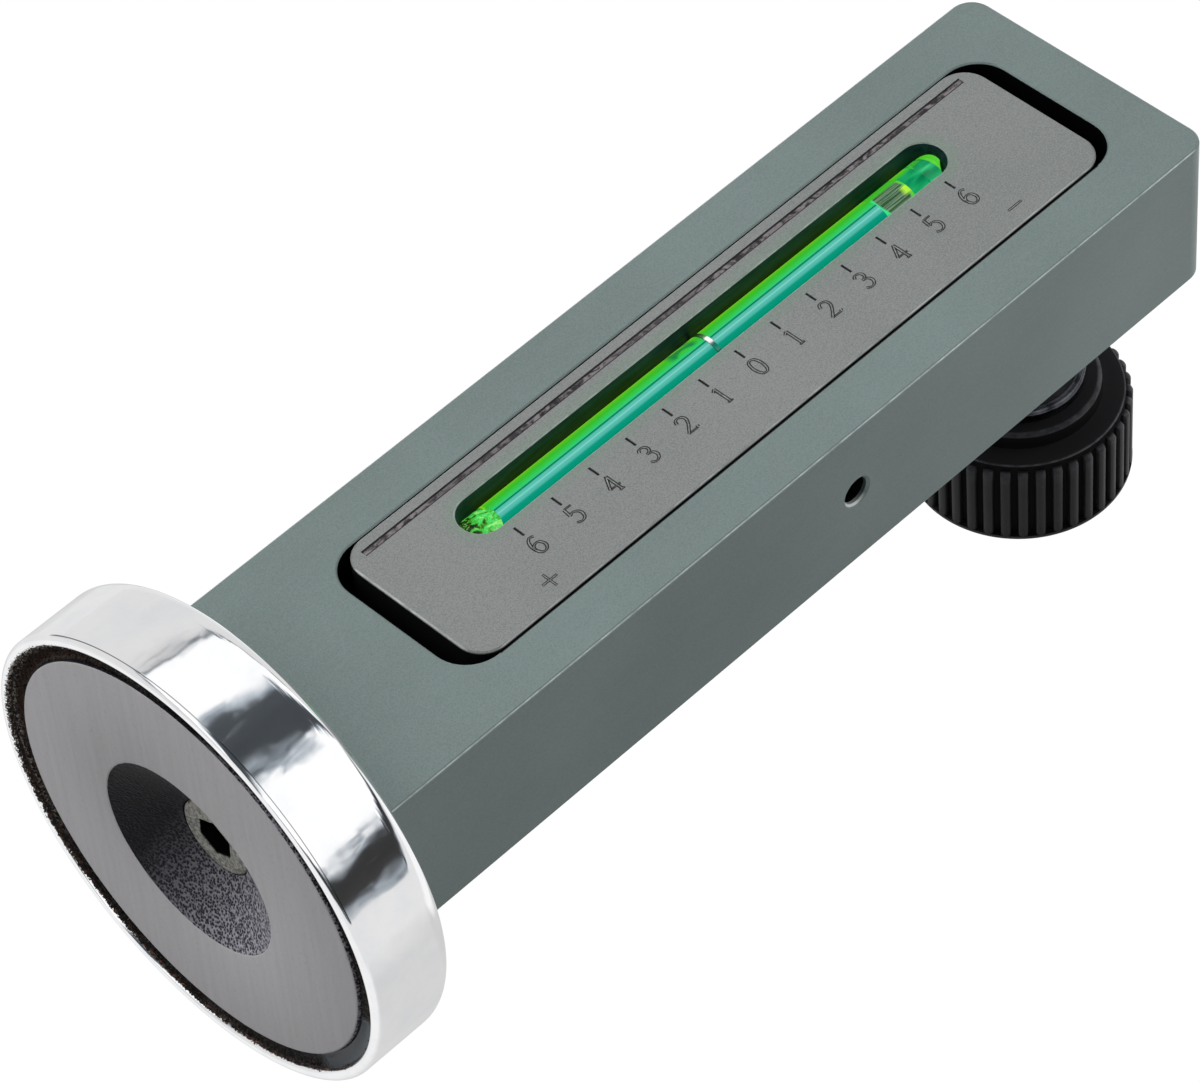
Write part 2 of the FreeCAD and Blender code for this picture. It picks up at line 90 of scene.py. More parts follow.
class Nodes:
    """Short ways to add nodes to the tree of a material or a world."""

    def __init__(self, owner):
        owner.use_nodes = True
        self.tree = owner.node_tree

    def node(self, kind, *feeds, **settings):
        made = self.tree.nodes.new(kind)
        for name, value in settings.items():
            setattr(made, name, value)
        for socket, value in zip(made.inputs, feeds):
            self.feed(socket, value)
        return made

    def feed(self, socket, value):
        if isinstance(value, bpy.types.NodeSocket):
            self.tree.links.new(value, socket)
        else:
            socket.default_value = value

    def finish(self, shader, output="Material Output"):
        self.feed(self.tree.nodes[output].inputs["Surface"], shader)

    def place(self):
        return self.node("ShaderNodeTexCoord").outputs["Object"]

    def axis(self, letter, place=None):
        return self.node("ShaderNodeSeparateXYZ", place or self.place()).outputs[letter]

    def axes(self):
        return [self.axis(letter) for letter in "XYZ"]

    def maths(self, operation, a, b=0.0):
        return self.node("ShaderNodeMath", a, b, operation=operation).outputs[0]

    def plus(self, a, b):
        return self.maths("ADD", a, b)

    def minus(self, a, b):
        return self.maths("SUBTRACT", a, b)

    def times(self, *values):
        return functools.reduce(lambda a, b: self.maths("MULTIPLY", a, b), values)

    def ratio(self, a, b):
        return self.maths("DIVIDE", a, b)

    def most(self, *values):
        return functools.reduce(lambda a, b: self.maths("MAXIMUM", a, b), values)

    def size(self, value):
        return self.maths("ABSOLUTE", value)

    def above(self, value, limit):
        """1 where a length is above a limit in millimetres, otherwise 0."""
        return self.maths("GREATER_THAN", value, limit * MM)

    def below(self, value, limit):
        return self.maths("LESS_THAN", value, limit * MM)

    def away(self, a, b):
        """Distance from an axis, from two offsets square to it."""
        return self.maths("SQRT", self.plus(self.times(a, a), self.times(b, b)))

    def around(self, a, b):
        """Turn round an axis, 0 to 1, from offset a toward offset b."""
        turn = self.ratio(self.maths("ARCTAN2", b, a), 2 * math.pi)
        return self.maths("FRACT", self.plus(turn, 1.0))

    def span(self, value, low, high, to_low=0.0, to_high=1.0):
        return self.node("ShaderNodeMapRange", value, low, high, to_low, to_high).outputs[0]

    def fade(self, value, low, high, to_low=0.0, to_high=1.0):
        """A span between two places in millimetres."""
        return self.span(value, low * MM, high * MM, to_low, to_high)

    def stretch(self, scale, degrees=0.0):
        made = self.node("ShaderNodeMapping", self.place())
        made.inputs["Rotation"].default_value = (0, 0, math.radians(degrees))
        made.inputs["Scale"].default_value = scale
        return made.outputs[0]

    def noise(self, scale, detail=2.0, roughness=0.5, place=None, distortion=0.0):
        made = self.node("ShaderNodeTexNoise", place or self.place())
        made.inputs["Scale"].default_value = scale
        made.inputs["Detail"].default_value = detail
        made.inputs["Roughness"].default_value = roughness
        made.inputs["Distortion"].default_value = distortion
        return made.outputs["Fac"]

    def cells(self, scale):
        made = self.node("ShaderNodeTexVoronoi", self.place())
        made.inputs["Scale"].default_value = scale
        return made.outputs["Distance"]

    def ramp(self, value, stops):
        made = self.node("ShaderNodeValToRGB", value)
        elements = made.color_ramp.elements
        while len(elements) < len(stops):
            elements.new(0.5)
        for element, (position, colour) in zip(elements, stops):
            element.position = position
            element.color = colour
        return made.outputs["Color"]

    def mix(self, share, a, b):
        made = self.node("ShaderNodeMix", share, data_type="RGBA")
        colour_a, colour_b = made.inputs[6:8]
        self.feed(colour_a, a)
        self.feed(colour_b, b)
        return made.outputs[2]

    def blend(self, share, a, b):
        """A mix of two shaders."""
        return self.node("ShaderNodeMixShader", share, a, b).outputs[0]


class Look(Nodes):
    """A Principled material, with its own sockets set by name."""

    def __init__(self, name, **sockets):
        self.material = bpy.data.materials.new(name)
        super().__init__(self.material)
        self.shader = self.tree.nodes["Principled BSDF"]
        for socket, value in sockets.items():
            self.shader.inputs[socket.replace("_", " ")].default_value = value

    def set(self, socket, value):
        self.feed(self.shader.inputs[socket], value)

    def bump(self, height, depth, strength=1.0):
        """Bump of a depth in millimetres."""
        made = self.node("ShaderNodeBump")
        made.inputs["Strength"].default_value = strength
        made.inputs["Distance"].default_value = depth * MM
        self.feed(made.inputs["Height"], height)
        self.set("Normal", made.outputs[0])


def tone(red, green, blue):
    """A display colour, 0 to 255, as the linear colour that shaders take."""
    def linear(value):
        value /= 255
        return value / 12.92 if value <= 0.04045 else ((value + 0.055) / 1.055) ** 2.4
    return (linear(red), linear(green), linear(blue), 1.0)


# Mesh helpers

def piece(
    name, shape, look, body, stands_for=None, sharp=None, smooth=True, origin=(0, 0, 0),
    solid=True,
):
    """A mesh from points in millimetres and faces, dressed, riding on its body, if it has one.

    Smooth shading stops at edges that turn by more than sharp degrees.
    """
    points, faces = shape
    centre = Vector(origin)
    mesh = bpy.data.meshes.new(name)
    mesh.from_pydata([(Vector(p) - centre) * MM for p in points], [], faces)
    mesh.validate()
    if solid:
        work = bmesh.new()
        work.from_mesh(mesh)
        bmesh.ops.recalc_face_normals(work, faces=work.faces)
        work.to_mesh(mesh)
        work.free()
    obj = bpy.data.objects.new(name, mesh)
    obj.location = centre * MM
    bpy.context.collection.objects.link(obj)
    mesh.polygons.foreach_set("use_smooth", [smooth] * len(mesh.polygons))
    mesh.materials.append(look.material)
    if body:
        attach(obj, body)
    if stands_for:
        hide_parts(stands_for)
    if sharp:
        mesh.set_sharp_from_angle(angle=math.radians(sharp))
    return obj


def corner(a, b, radius, start, end, steps=6):
    """Points of a rounded corner in a profile; start and end are unit steps away from it."""
    centre = (a + radius * (start[0] + end[0]), b + radius * (start[1] + end[1]))
    out = []
    for k in range(steps + 1):
        turn = math.pi / 2 * k / steps
        out.append((
            centre[0] - radius * (end[0] * math.cos(turn) + start[0] * math.sin(turn)),
            centre[1] - radius * (end[1] * math.cos(turn) + start[1] * math.sin(turn)),
        ))
    return out


def lathe(profile, spin, steps, closed=True):
    """Points and faces of a turned form. spin(a, r, angle) gives a point."""
    points, faces = [], []
    rows = len(profile)
    for k in range(steps):
        angle = 2 * math.pi * k / steps
        points += [spin(a, r, angle) for a, r in profile]
    for k in range(steps):
        here, there = k * rows, (k + 1) % steps * rows
        for i in range(rows if closed else rows - 1):
            j = (i + 1) % rows
            faces.append((here + i, there + i, there + j, here + j))
    return points, faces


def along_x(y, z):
    return lambda x, r, angle: (x, y + r * math.cos(angle), z + r * math.sin(angle))


def tube(route, radius, sides):
    """A wire along a route of points, with flat ends."""
    points, faces = [], []
    route = [Vector(p) for p in route]
    normal = Vector((0, 0, 1))
    for k, here in enumerate(route):
        way = (route[min(k + 1, len(route) - 1)] - route[max(k - 1, 0)]).normalized()
        side = way.cross(normal).normalized()
        up = side.cross(way)
        for i in range(sides):
            turn = 2 * math.pi * i / sides
            points.append(here + (side * math.cos(turn) + up * math.sin(turn)) * radius)
    for k in range(len(route) - 1):
        for i in range(sides):
            j = (i + 1) % sides
            faces.append((k * sides + i, k * sides + j, (k + 1) * sides + j, (k + 1) * sides + i))
    last = (len(route) - 1) * sides
    faces += [tuple(range(sides - 1, -1, -1)), tuple(range(last, last + sides))]
    return points, faces


def coil(x, y, low, high, radius, wire, turns):
    """Route of a coil spring with closed ends: each end turn lies flat before the wire rises."""
    flat, blend, steps = 0.73, 0.1, 48
    seat = wire + 0.02
    free = turns - 2 * flat - blend
    slope = (high - low - 2 * seat) / free

    def height(turn):
        run = turn - flat
        if run <= 0:
            return 0.0
        if run < blend:
            return slope * run * run / (2 * blend)
        return slope * (run - blend / 2)

    route = []
    for k in range(int(turns * steps) + 1):
        done = k / steps
        if done <= turns / 2:
            z = low + seat + height(done)
        else:
            z = high - seat - height(turns - done)
        angle = 2 * math.pi * done
        route.append(Vector((x + radius * math.cos(angle), y + radius * math.sin(angle), z)))
    return route


# Materials

def anodised_bar():
    look = Look("bar_anodised", Metallic=0.5, Roughness=0.42)
    grain = look.noise(6500, 3, 0.6)
    cloud = look.noise(38, 4, 0.55)
    streak = look.noise(14, 3, 0.6, look.stretch((6, 110, 110)))
    pale = tone(130, 144, 141)
    colour = look.mix(look.span(cloud, 0.3, 0.7), tone(105, 118, 116), tone(115, 129, 127))
    colour = look.mix(look.span(grain, 0.5, 0.36, 0, 0.35), colour, tone(84, 98, 96))
    colour = look.mix(look.span(grain, 0.52, 0.66, 0, 0.3), colour, pale)
    colour = look.mix(look.span(streak, 0.5, 0.7, 0, 0.07), colour, pale)
    x, y, z = look.axes()
    across = look.size(y)
    # A painted highlight along the top edges' chamfer, broken up by patchy wear
    wear_and_highlight = look.span(look.noise(700, 3, 0.6), 0.35, 0.65, 0.3, 0.85)
    edge = look.times(look.above(across, BAR_HALF - 0.17), look.above(z, 9.0), wear_and_highlight)
    colour = look.mix(edge, colour, tone(196, 206, 204))
    along = look.minus(x, MIDDLE * MM)
    over = look.minus(z, PIVOT_Z * MM)
    reach = look.away(along, over)
    # The pivot hole: a painted highlight on the lit wall at its mouth, and painted shade within
    skin = 15.1
    mouth = look.times(
        look.below(reach, 1.7), look.below(across, BAR_HALF - 0.03), look.above(across, skin)
    )
    below = look.minus(look.times(along, -0.7), over)
    highlight_share = look.fade(below, 0.3, 1.7, 0.0, 0.9)
    colour = look.mix(look.times(mouth, highlight_share), colour, tone(205, 210, 210))
    hole = look.times(look.below(reach, 1.9), look.below(across, skin))
    # Painted shade on the pocket's near brink and its walls, and in the pivot hole
    brink_shade = look.times(
        look.below(y, -9.7), look.above(y, -10.02), look.above(x, 31.6), look.below(x, 113.9),
        look.above(z, 8.9),
    )
    near, far, half, floor, top = 27.3, 118.2, 9.95, -8.0, 8.95
    pocket_shade = look.times(
        look.above(x, near), look.below(x, far), look.below(across, half), look.below(z, top),
        look.above(z, floor),
    )
    dark = look.most(pocket_shade, hole, brink_shade)
    look.set("Base Color", look.mix(dark, colour, tone(8, 9, 9)))
    look.set("Roughness", look.span(grain, 0.3, 0.7, 0.38, 0.5))
    look.bump(grain, 0.006, 0.8)
    return look


def blasted_plate():
    look = Look("plate_blasted", Metallic=0.5, Roughness=0.5)
    grain = look.noise(7000, 3, 0.65)
    cloud = look.noise(45, 3, 0.5)
    colour = look.mix(look.span(cloud, 0.3, 0.7), tone(122, 126, 125), tone(130, 133, 132))
    colour = look.mix(look.span(grain, 0.5, 0.66, 0, 0.5), colour, tone(150, 151, 149))
    colour = look.mix(look.span(grain, 0.5, 0.34, 0, 0.5), colour, tone(90, 92, 91))
    x, y, z = look.axes()
    off = look.size(look.minus(y, VIAL_Y * MM))
    run = look.size(look.minus(x, MIDDLE * MM))
    # The slot's walls: painted shade, darkest low down and lighter toward the top
    slot = look.times(look.below(off, 2.56), look.below(run, 33.0), look.below(z, 9.12))
    depth = look.fade(z, 6.0, 9.0)
    drawn = look.span(look.noise(1300, 3, 0.65, look.stretch((0.12, 1, 1))), 0.38, 0.62)
    deep = look.mix(drawn, tone(6, 11, 20), tone(15, 24, 38))
    high = look.mix(drawn, tone(18, 31, 48), tone(46, 62, 86))
    colour = look.mix(slot, colour, look.mix(depth, deep, high))
    # Painted green light round the slot, and a painted highlight on the slot's lip
    straight = 30.4
    past = look.most(look.minus(run, straight * MM), 0.0)
    reach = look.away(off, past)
    top = look.above(z, 9.13)
    glow = look.times(top, look.fade(reach, 2.5, 4.2, 0.16, 0.0))
    colour = look.mix(glow, colour, tone(60, 150, 90))
    highlight_share = look.span(look.noise(900, 3, 0.6), 0.35, 0.6, 0.3, 0.9)
    far_end = look.fade(x, MIDDLE + 28, MIDDLE + 32, 1.0, 0.25)
    lip = look.times(top, look.fade(reach, 2.58, 2.66, 1.0, 0.0), highlight_share, far_end)
    colour = look.mix(lip, colour, tone(176, 180, 178))
    # The plate's rim: a painted highlight, patchy; and its dark sides
    rim = look.most(look.above(look.size(y), 9.46), look.below(x, 29.78))
    wear_and_highlight = look.span(look.noise(500, 3, 0.6), 0.35, 0.65, 0.2, 0.85)
    colour = look.mix(look.times(top, rim, wear_and_highlight), colour, tone(190, 194, 192))
    side = look.times(look.below(z, 8.95), look.minus(1.0, slot))
    look.set("Base Color", look.mix(side, colour, tone(20, 21, 21)))
    look.set("Roughness", look.span(grain, 0.3, 0.7, 0.42, 0.6))
    look.bump(grain, 0.014, 1.0)
    return look


def bright_plating():
    look = Look("cup_plating", Metallic=1.0, Roughness=0.05)
    wave = look.noise(230, 1.2, 0.5)
    fine = look.noise(260, 4, 0.6)
    speck = look.noise(4200, 3, 0.65)
    x, y, z = look.axes()
    away = look.away(y, z)
    # Crumbs of resin on the lip, wider toward the cup's far upper side
    toward = look.ratio(look.plus(look.times(y, 0.94), look.times(z, 0.34)), away)
    reach = look.span(toward, 0.35, 0.95, 0.12 * MM, 0.62 * MM)
    share = look.ratio(look.minus(away, (CUP_BORE - 0.01) * MM), reach)
    dirt = look.span(look.minus(speck, look.span(share, 0, 1, 0.28, 0.66)), 0.0, 0.04)
    close = look.maths("LESS_THAN", share, 1.0)
    dirt = look.times(dirt, close, look.below(x, 0.6), look.below(away, CUP_RADIUS - 0.4))
    plated = look.mix(look.span(fine, 0.4, 0.7), tone(253, 253, 254), tone(246, 247, 249))
    crumb = look.mix(
        look.span(look.noise(2400, 2, 0.5), 0.48, 0.66), tone(12, 9, 8), tone(84, 58, 46)
    )
    look.set("Base Color", look.mix(dirt, plated, crumb))
    look.set("Metallic", look.minus(1.0, dirt))
    look.set("Roughness", look.most(look.span(fine, 0.35, 0.75, 0.06, 0.1), look.times(dirt, 0.8)))
    look.bump(wave, 0.085, 1.0)
    return look


def ceramic_magnet():
    look = Look("magnet_ceramic", Roughness=0.6, Specular_IOR_Level=0.12)
    place = look.place()
    brushed = look.noise(60, 4, 0.6, look.stretch((1, 22, 1)))
    pits = look.noise(2200, 3, 0.6)
    speck = look.cells(3500)
    face = look.mix(look.span(brushed, 0.3, 0.7), tone(162, 160, 162), tone(170, 168, 170))
    face = look.mix(look.span(pits, 0.56, 0.72, 0, 0.3), face, tone(130, 128, 132))
    # Painted shade on the cone inside the ring: its speckle grows darker toward +Y and +Z
    tilt = look.plus(look.axis("Y", place), look.times(look.axis("Z", place), 0.45))
    cone_shade = look.fade(tilt, -10, 5.5)
    light = look.mix(cone_shade, tone(150, 148, 156), tone(24, 23, 29))
    dark = look.mix(cone_shade, tone(36, 36, 42), tone(7, 7, 10))
    speckle_and_shade = look.mix(look.span(speck, 0.36, 0.7), dark, light)
    deep = look.above(look.axis("X", place), 0.47)
    look.set("Base Color", look.mix(deep, face, speckle_and_shade))
    look.set("Roughness", look.span(deep, 0, 1, 0.5, 0.6))
    look.bump(look.times(speck, look.span(deep, 0, 1, 0.1, 1)), 0.12, 0.9)
    return look


def black_resin():
    """Crumbly and flecked with rust, but for a smooth patch low on one side with a painted bluish
    sheen.
    """
    look = Look("bond_resin", Roughness=0.38, Specular_IOR_Level=0.1)
    crumb = look.noise(1900, 5, 0.7)
    rust = look.noise(2600, 3, 0.65)
    y = look.axis("Y")
    z = look.axis("Z")
    colour = look.mix(look.span(crumb, 0.45, 0.7), tone(3, 3, 3), tone(22, 19, 17))
    left = look.fade(look.plus(y, look.times(z, 0.35)), 14, 22)
    brown = look.times(look.span(rust, 0.44, 0.58), look.plus(look.times(left, 0.85), 0.1))
    colour = look.mix(brown, colour, tone(74, 52, 42))
    grain = look.span(look.noise(4600, 2, 0.6), 0.6, 0.68, 0, 0.5)
    colour = look.mix(grain, colour, tone(120, 114, 108))
    outer = look.fade(look.away(y, z), 23.2, 23.7, 0, 0.9)
    bright = look.times(look.span(rust, 0.52, 0.56), left, outer)
    colour = look.mix(bright, colour, tone(190, 182, 172))
    turn = look.around(y, z)
    low = look.times(
        look.span(turn, 0.532, 0.538), look.span(turn, 0.645, 0.635), look.below(look.axis("X"), 3),
    )
    # A painted bluish sheen on the smooth patch
    sheen = look.mix(look.span(turn, 0.54, 0.63), tone(44, 56, 65), tone(28, 38, 46))
    colour = look.mix(low, colour, sheen)
    look.set("Base Color", colour)
    look.set(
        "Roughness", look.mix(low, look.span(rust, 0.35, 0.65, 0.3, 0.65), (0.26, 0.26, 0.26, 1))
    )
    look.bump(look.times(crumb, look.minus(1.05, low)), 0.3, 1.0)
    return look


def plated_steel():
    look = Look("fastener_steel", Metallic=0.6, Roughness=0.45)
    fleck = look.noise(3600, 3, 0.65)
    y = look.axis("Y")
    z = look.axis("Z")
    # Painted shade inside the hex socket
    socket = look.times(
        look.below(look.away(y, z), 2.45), look.above(look.axis("X"), HEAD_FACE + 0.05)
    )
    colour = look.mix(look.span(fleck, 0.42, 0.58), tone(70, 71, 68), tone(152, 150, 142))
    look.set("Base Color", look.mix(socket, colour, tone(4, 4, 4)))
    look.set("Roughness", look.span(fleck, 0.3, 0.7, 0.35, 0.55))
    look.bump(fleck, 0.03, 0.8)
    return look


def screw_steel():
    """Dark steel with the adjusting screw's thread drawn on it, 0.8 mm to a turn: painted light on
    the crests and painted shade in the roots.
    """
    look = Look("adjusting_screw_steel", Metallic=0.85, Roughness=0.35)
    z = look.axis("Z")
    turn = look.around(look.minus(look.axis("X"), KNOB_X * MM), look.axis("Y"))
    phase = look.maths("FRACT", look.minus(look.ratio(z, 0.8 * MM), turn))
    flank = look.size(look.minus(phase, 0.5))
    oil = look.noise(900, 3, 0.6)
    colour = look.mix(look.span(flank, 0.05, 0.4), tone(34, 35, 38), tone(122, 124, 126))
    look.set("Base Color", look.mix(look.span(oil, 0.4, 0.65, 0, 0.5), colour, tone(50, 50, 50)))
    look.set("Roughness", look.span(oil, 0.35, 0.65, 0.25, 0.45))
    look.bump(flank, 0.25, 0.8)
    return look


def ground_steel():
    look = Look("pin_steel", Metallic=0.9, Roughness=0.35)
    turned = look.noise(200, 3, 0.6, look.stretch((20, 1, 20)))
    # Dark: painted shade for the pin's end, deep in the pivot hole
    look.set(
        "Base Color", look.mix(look.span(turned, 0.3, 0.7), tone(34, 35, 37), tone(52, 53, 56))
    )
    look.bump(turned, 0.004, 0.5)
    return look


def wire_steel():
    look = Look("spring_wire", Metallic=0.9, Roughness=0.3)
    drawn = look.noise(800, 3, 0.55)
    look.set(
        "Base Color", look.mix(look.span(drawn, 0.35, 0.65), tone(60, 61, 66), tone(104, 106, 112))
    )
    look.set("Roughness", look.span(drawn, 0.3, 0.7, 0.2, 0.36))
    look.bump(drawn, 0.006, 0.6)
    return look


def black_washer():
    look = Look("washer_black", Metallic=0.6, Roughness=0.34)
    patch = look.noise(700, 3, 0.6)
    look.set(
        "Base Color", look.mix(look.span(patch, 0.35, 0.7), tone(18, 18, 21), tone(44, 44, 48))
    )
    look.bump(patch, 0.006, 0.5)
    return look


def knob_plastic():
    look = Look("knob_plastic", Roughness=0.5, Specular_IOR_Level=0.16)
    cloud = look.noise(160, 4, 0.6)
    spark = look.noise(3000, 3, 0.55)
    colour = look.mix(look.span(cloud, 0.3, 0.7), tone(36, 36, 38), tone(52, 52, 53))
    colour = look.mix(look.span(spark, 0.62, 0.78, 0, 0.3), colour, tone(70, 70, 72))
    x, y, z = look.axes()
    away = look.away(look.minus(x, KNOB_X * MM), y)
    # Painted shade in the grooves between the ribs
    groove_shade = look.fade(away, 11.3, 11.6, 1.0, 0.0)
    low = look.below(z, BOSS_TOP - 2.1)
    colour = look.mix(look.times(groove_shade, low), colour, tone(7, 7, 8))
    # Painted shade on faces that look up, shaded by the bar above
    up_facing_shade = look.node("ShaderNodeNewGeometry").outputs["Normal"]
    up_facing_shade = look.span(look.axis("Z", up_facing_shade), 0.5, 0.95)
    colour = look.mix(up_facing_shade, colour, tone(28, 28, 30))
    # Painted highlights on the rims of the boss and the face, wear on the ribs' tops, and painted
    # shade on the boss's dark wall
    wear_and_highlight = look.span(look.noise(900, 3, 0.6), 0.35, 0.6, 0.3, 0.9)
    boss_low = BOSS_TOP - 0.42
    rim = look.times(look.fade(away, 8.1, 8.3), look.above(z, boss_low))
    wall = look.times(
        look.below(z, boss_low), look.above(z, BOSS_TOP - 1.93), look.below(away, 8.9)
    )
    colour = look.mix(wall, colour, tone(8, 8, 9))
    face = look.times(look.fade(away, 10.86, 11.0), look.above(z, BOSS_TOP - 2.1))
    cap = look.times(
        look.fade(away, 11.2, 11.5), look.fade(z, BOSS_TOP - 4.8, BOSS_TOP - 2.9, 0, 0.6),
    )
    edge = look.times(look.most(look.times(rim, 0.7), face, cap), wear_and_highlight)
    colour = look.mix(edge, colour, tone(86, 86, 90))
    look.set("Base Color", colour)
    look.set("Roughness", look.most(look.span(cloud, 0.3, 0.7, 0.4, 0.55), look.times(groove_shade, 0.9)))
    look.bump(spark, 0.012, 0.6)
    return look


def dark_paint():
    look = Look("scale_paint", Roughness=0.6)
    wear_and_highlight = look.noise(2600, 3, 0.6)
    look.set(
        "Base Color", look.mix(look.span(wear_and_highlight, 0.56, 0.7, 0, 0.4), tone(9, 9, 10), tone(60, 60, 59))
    )
    look.bump(wear_and_highlight, 0.02, 0.8)
    return look


def cut_floor():
    look = Look("scale_cut_floor", Roughness=0.55, Metallic=0.3)
    wear_and_highlight = look.noise(2600, 3, 0.6)
    look.set(
        "Base Color", look.mix(look.span(wear_and_highlight, 0.4, 0.62), tone(100, 100, 99), tone(136, 137, 135))
    )
    look.bump(wear_and_highlight, 0.02, 0.8)
    return look


def scratched_line():
    look = Look("border_line", Roughness=0.5, Metallic=0.3)
    scratch = look.noise(1500, 3, 0.6, look.stretch((0.6, 1, 1)), 0.8)
    patch = look.noise(260, 3, 0.5, look.stretch((0.3, 1, 1)))
    off = look.size(look.minus(look.axis("Y"), 8.0 * MM))
    colour = look.mix(look.span(scratch, 0.42, 0.58), tone(28, 25, 28), tone(118, 112, 114))
    colour = look.mix(look.span(patch, 0.5, 0.62, 0, 0.5), colour, tone(66, 60, 63))
    rim = look.fade(off, 0.2, 0.25)
    look.set("Base Color", look.mix(rim, colour, tone(14, 14, 16)))
    look.bump(scratch, 0.03, 0.8)
    return look


def clear_tube():
    """Mostly plain refraction, which leaves less noise than the Principled shader's own glass."""
    index = 1.49
    look = Look(
        "vial_clear", Roughness=0.0, IOR=index, Transmission_Weight=1.0,
        Base_Color=(0.9, 1.0, 0.95, 1), Specular_Tint=(0, 0, 0, 1),
    )
    look.bump(look.noise(20, 2, 0.5, look.stretch((0.5, 2, 2))), 0.01, 0.2)
    bent = look.node("ShaderNodeBsdfRefraction", (0.95, 1.0, 0.975, 1), 0.0, index).outputs[0]
    before_end = look.fade(look.axis("X"), 104.0, 104.2, 0.88, 0.0)
    glass = look.blend(before_end, look.shader.outputs[0], bent)
    through = look.node("ShaderNodeBsdfTransparent", (0.85, 1.0, 0.92, 1)).outputs[0]
    look.finish(
        look.blend(look.node("ShaderNodeLightPath").outputs["Is Shadow Ray"], glass, through)
    )
    return look


def round_vial(look):
    """Place round the vial's axis, 0 to 1: 0 points to +Y, 0.25 straight up."""
    up = look.minus(look.axis("Z"), VIAL_Z * MM)
    off = look.minus(look.axis("Y"), VIAL_Y * MM)
    return look.around(off, up)


def glowing(look, colour):
    """A painted glow for the dye's fluorescence: the colour is partly given off and partly
    reflected.
    """
    look.set("Base Color", look.mix(GLOW, colour, (0, 0, 0, 1)))
    look.set("Emission Color", colour)
    look.set("Emission Strength", GLOW)


def green_liquid():
    look = Look("vial_liquid", Roughness=0.3, Specular_IOR_Level=0.0)
    ripple = look.noise(25, 3, 0.55, look.stretch((1, 12, 12)))
    turn = look.plus(round_vial(look), look.span(ripple, 0, 1, -0.008, 0.008))
    # Painted bands round the vial's axis: the greens, a painted highlight as a pale cyan stripe
    # with a light line, and painted shade toward the underside
    bands = look.ramp(turn, [
        (0.000, tone(150, 222, 44)),
        (0.050, tone(142, 220, 40)),
        (0.085, tone(96, 204, 40)),
        (0.140, tone(62, 194, 44)),
        (0.190, tone(54, 204, 84)),
        (0.218, tone(54, 206, 130)),
        (0.226, tone(8, 116, 86)),
        (0.234, tone(10, 120, 90)),
        (0.242, tone(84, 186, 168)),
        (0.264, tone(96, 192, 178)),
        (0.272, tone(140, 218, 208)),
        (0.280, tone(96, 194, 182)),
        (0.302, tone(84, 186, 174)),
        (0.318, tone(11, 158, 130)),
        (0.400, tone(2, 138, 110)),
        (0.700, tone(0, 96, 60)),
        (1.000, tone(90, 170, 30)),
    ])
    # A dark smear behind the index ring, and the veil past the bubble
    x = look.axis("X")
    smear = look.times(
        look.fade(x, 68.4, 69.2), look.fade(x, 72.3, 71.6), look.span(turn, 0.2, 0.17)
    )
    patch = look.span(look.noise(500, 2, 0.5, look.stretch((0.5, 1, 1)), 0.6), 0.46, 0.54, 0, 0.75)
    bands = look.mix(look.times(smear, patch), bands, tone(14, 112, 78))
    past = look.times(look.fade(x, 100.2, 100.5), look.span(turn, 0.13, 0.17))
    bands = look.mix(past, bands, end_veil(look))
    glowing(look, bands)
    return look


def end_veil(look):
    """The streaked green between the bubble and the vial's far end."""
    veil = look.noise(330, 2, 0.5, look.stretch((0.35, 1.6, 1.6), 14), 0.5)
    return look.ramp(veil, [
        (0.36, tone(4, 96, 58)),
        (0.46, tone(14, 142, 90)),
        (0.54, tone(34, 178, 108)),
        (0.62, tone(104, 222, 150)),
    ])


def lime_plug():
    look = Look("vial_plug", Roughness=0.25, Specular_IOR_Level=0.3)
    x = look.axis("X")
    streak = look.noise(820, 4, 0.65, look.stretch((0.7, 1, 1)), 1.8)
    streak = look.plus(streak, look.fade(x, 41.0, 42.8, -0.13, 0.05))
    spark = look.noise(2200, 3, 0.6, distortion=1.0)
    colour = look.ramp(streak, [
        (0.34, tone(8, 40, 6)),
        (0.42, tone(52, 92, 18)),
        (0.48, tone(70, 178, 40)),
        (0.56, tone(58, 214, 96)),
        (0.66, tone(160, 240, 120)),
    ])
    # Painted glints over the streaks
    colour = look.mix(look.span(spark, 0.58, 0.66, 0, 0.5), colour, tone(170, 240, 130))
    far = look.above(x, 90)
    slope = look.plus(x, look.times(look.axis("Y"), 0.12))
    end = look.mix(look.fade(slope, 104.86, 104.96), end_veil(look), tone(92, 214, 52))
    rim = look.times(
        look.span(round_vial(look), 0.17, 0.13), look.fade(slope, 104.6, 104.9, 0.8, 0)
    )
    end = look.mix(rim, end, tone(70, 190, 44))
    colour = look.mix(far, colour, end)
    glowing(look, colour)
    look.bump(spark, 0.1, 0.6)
    return look


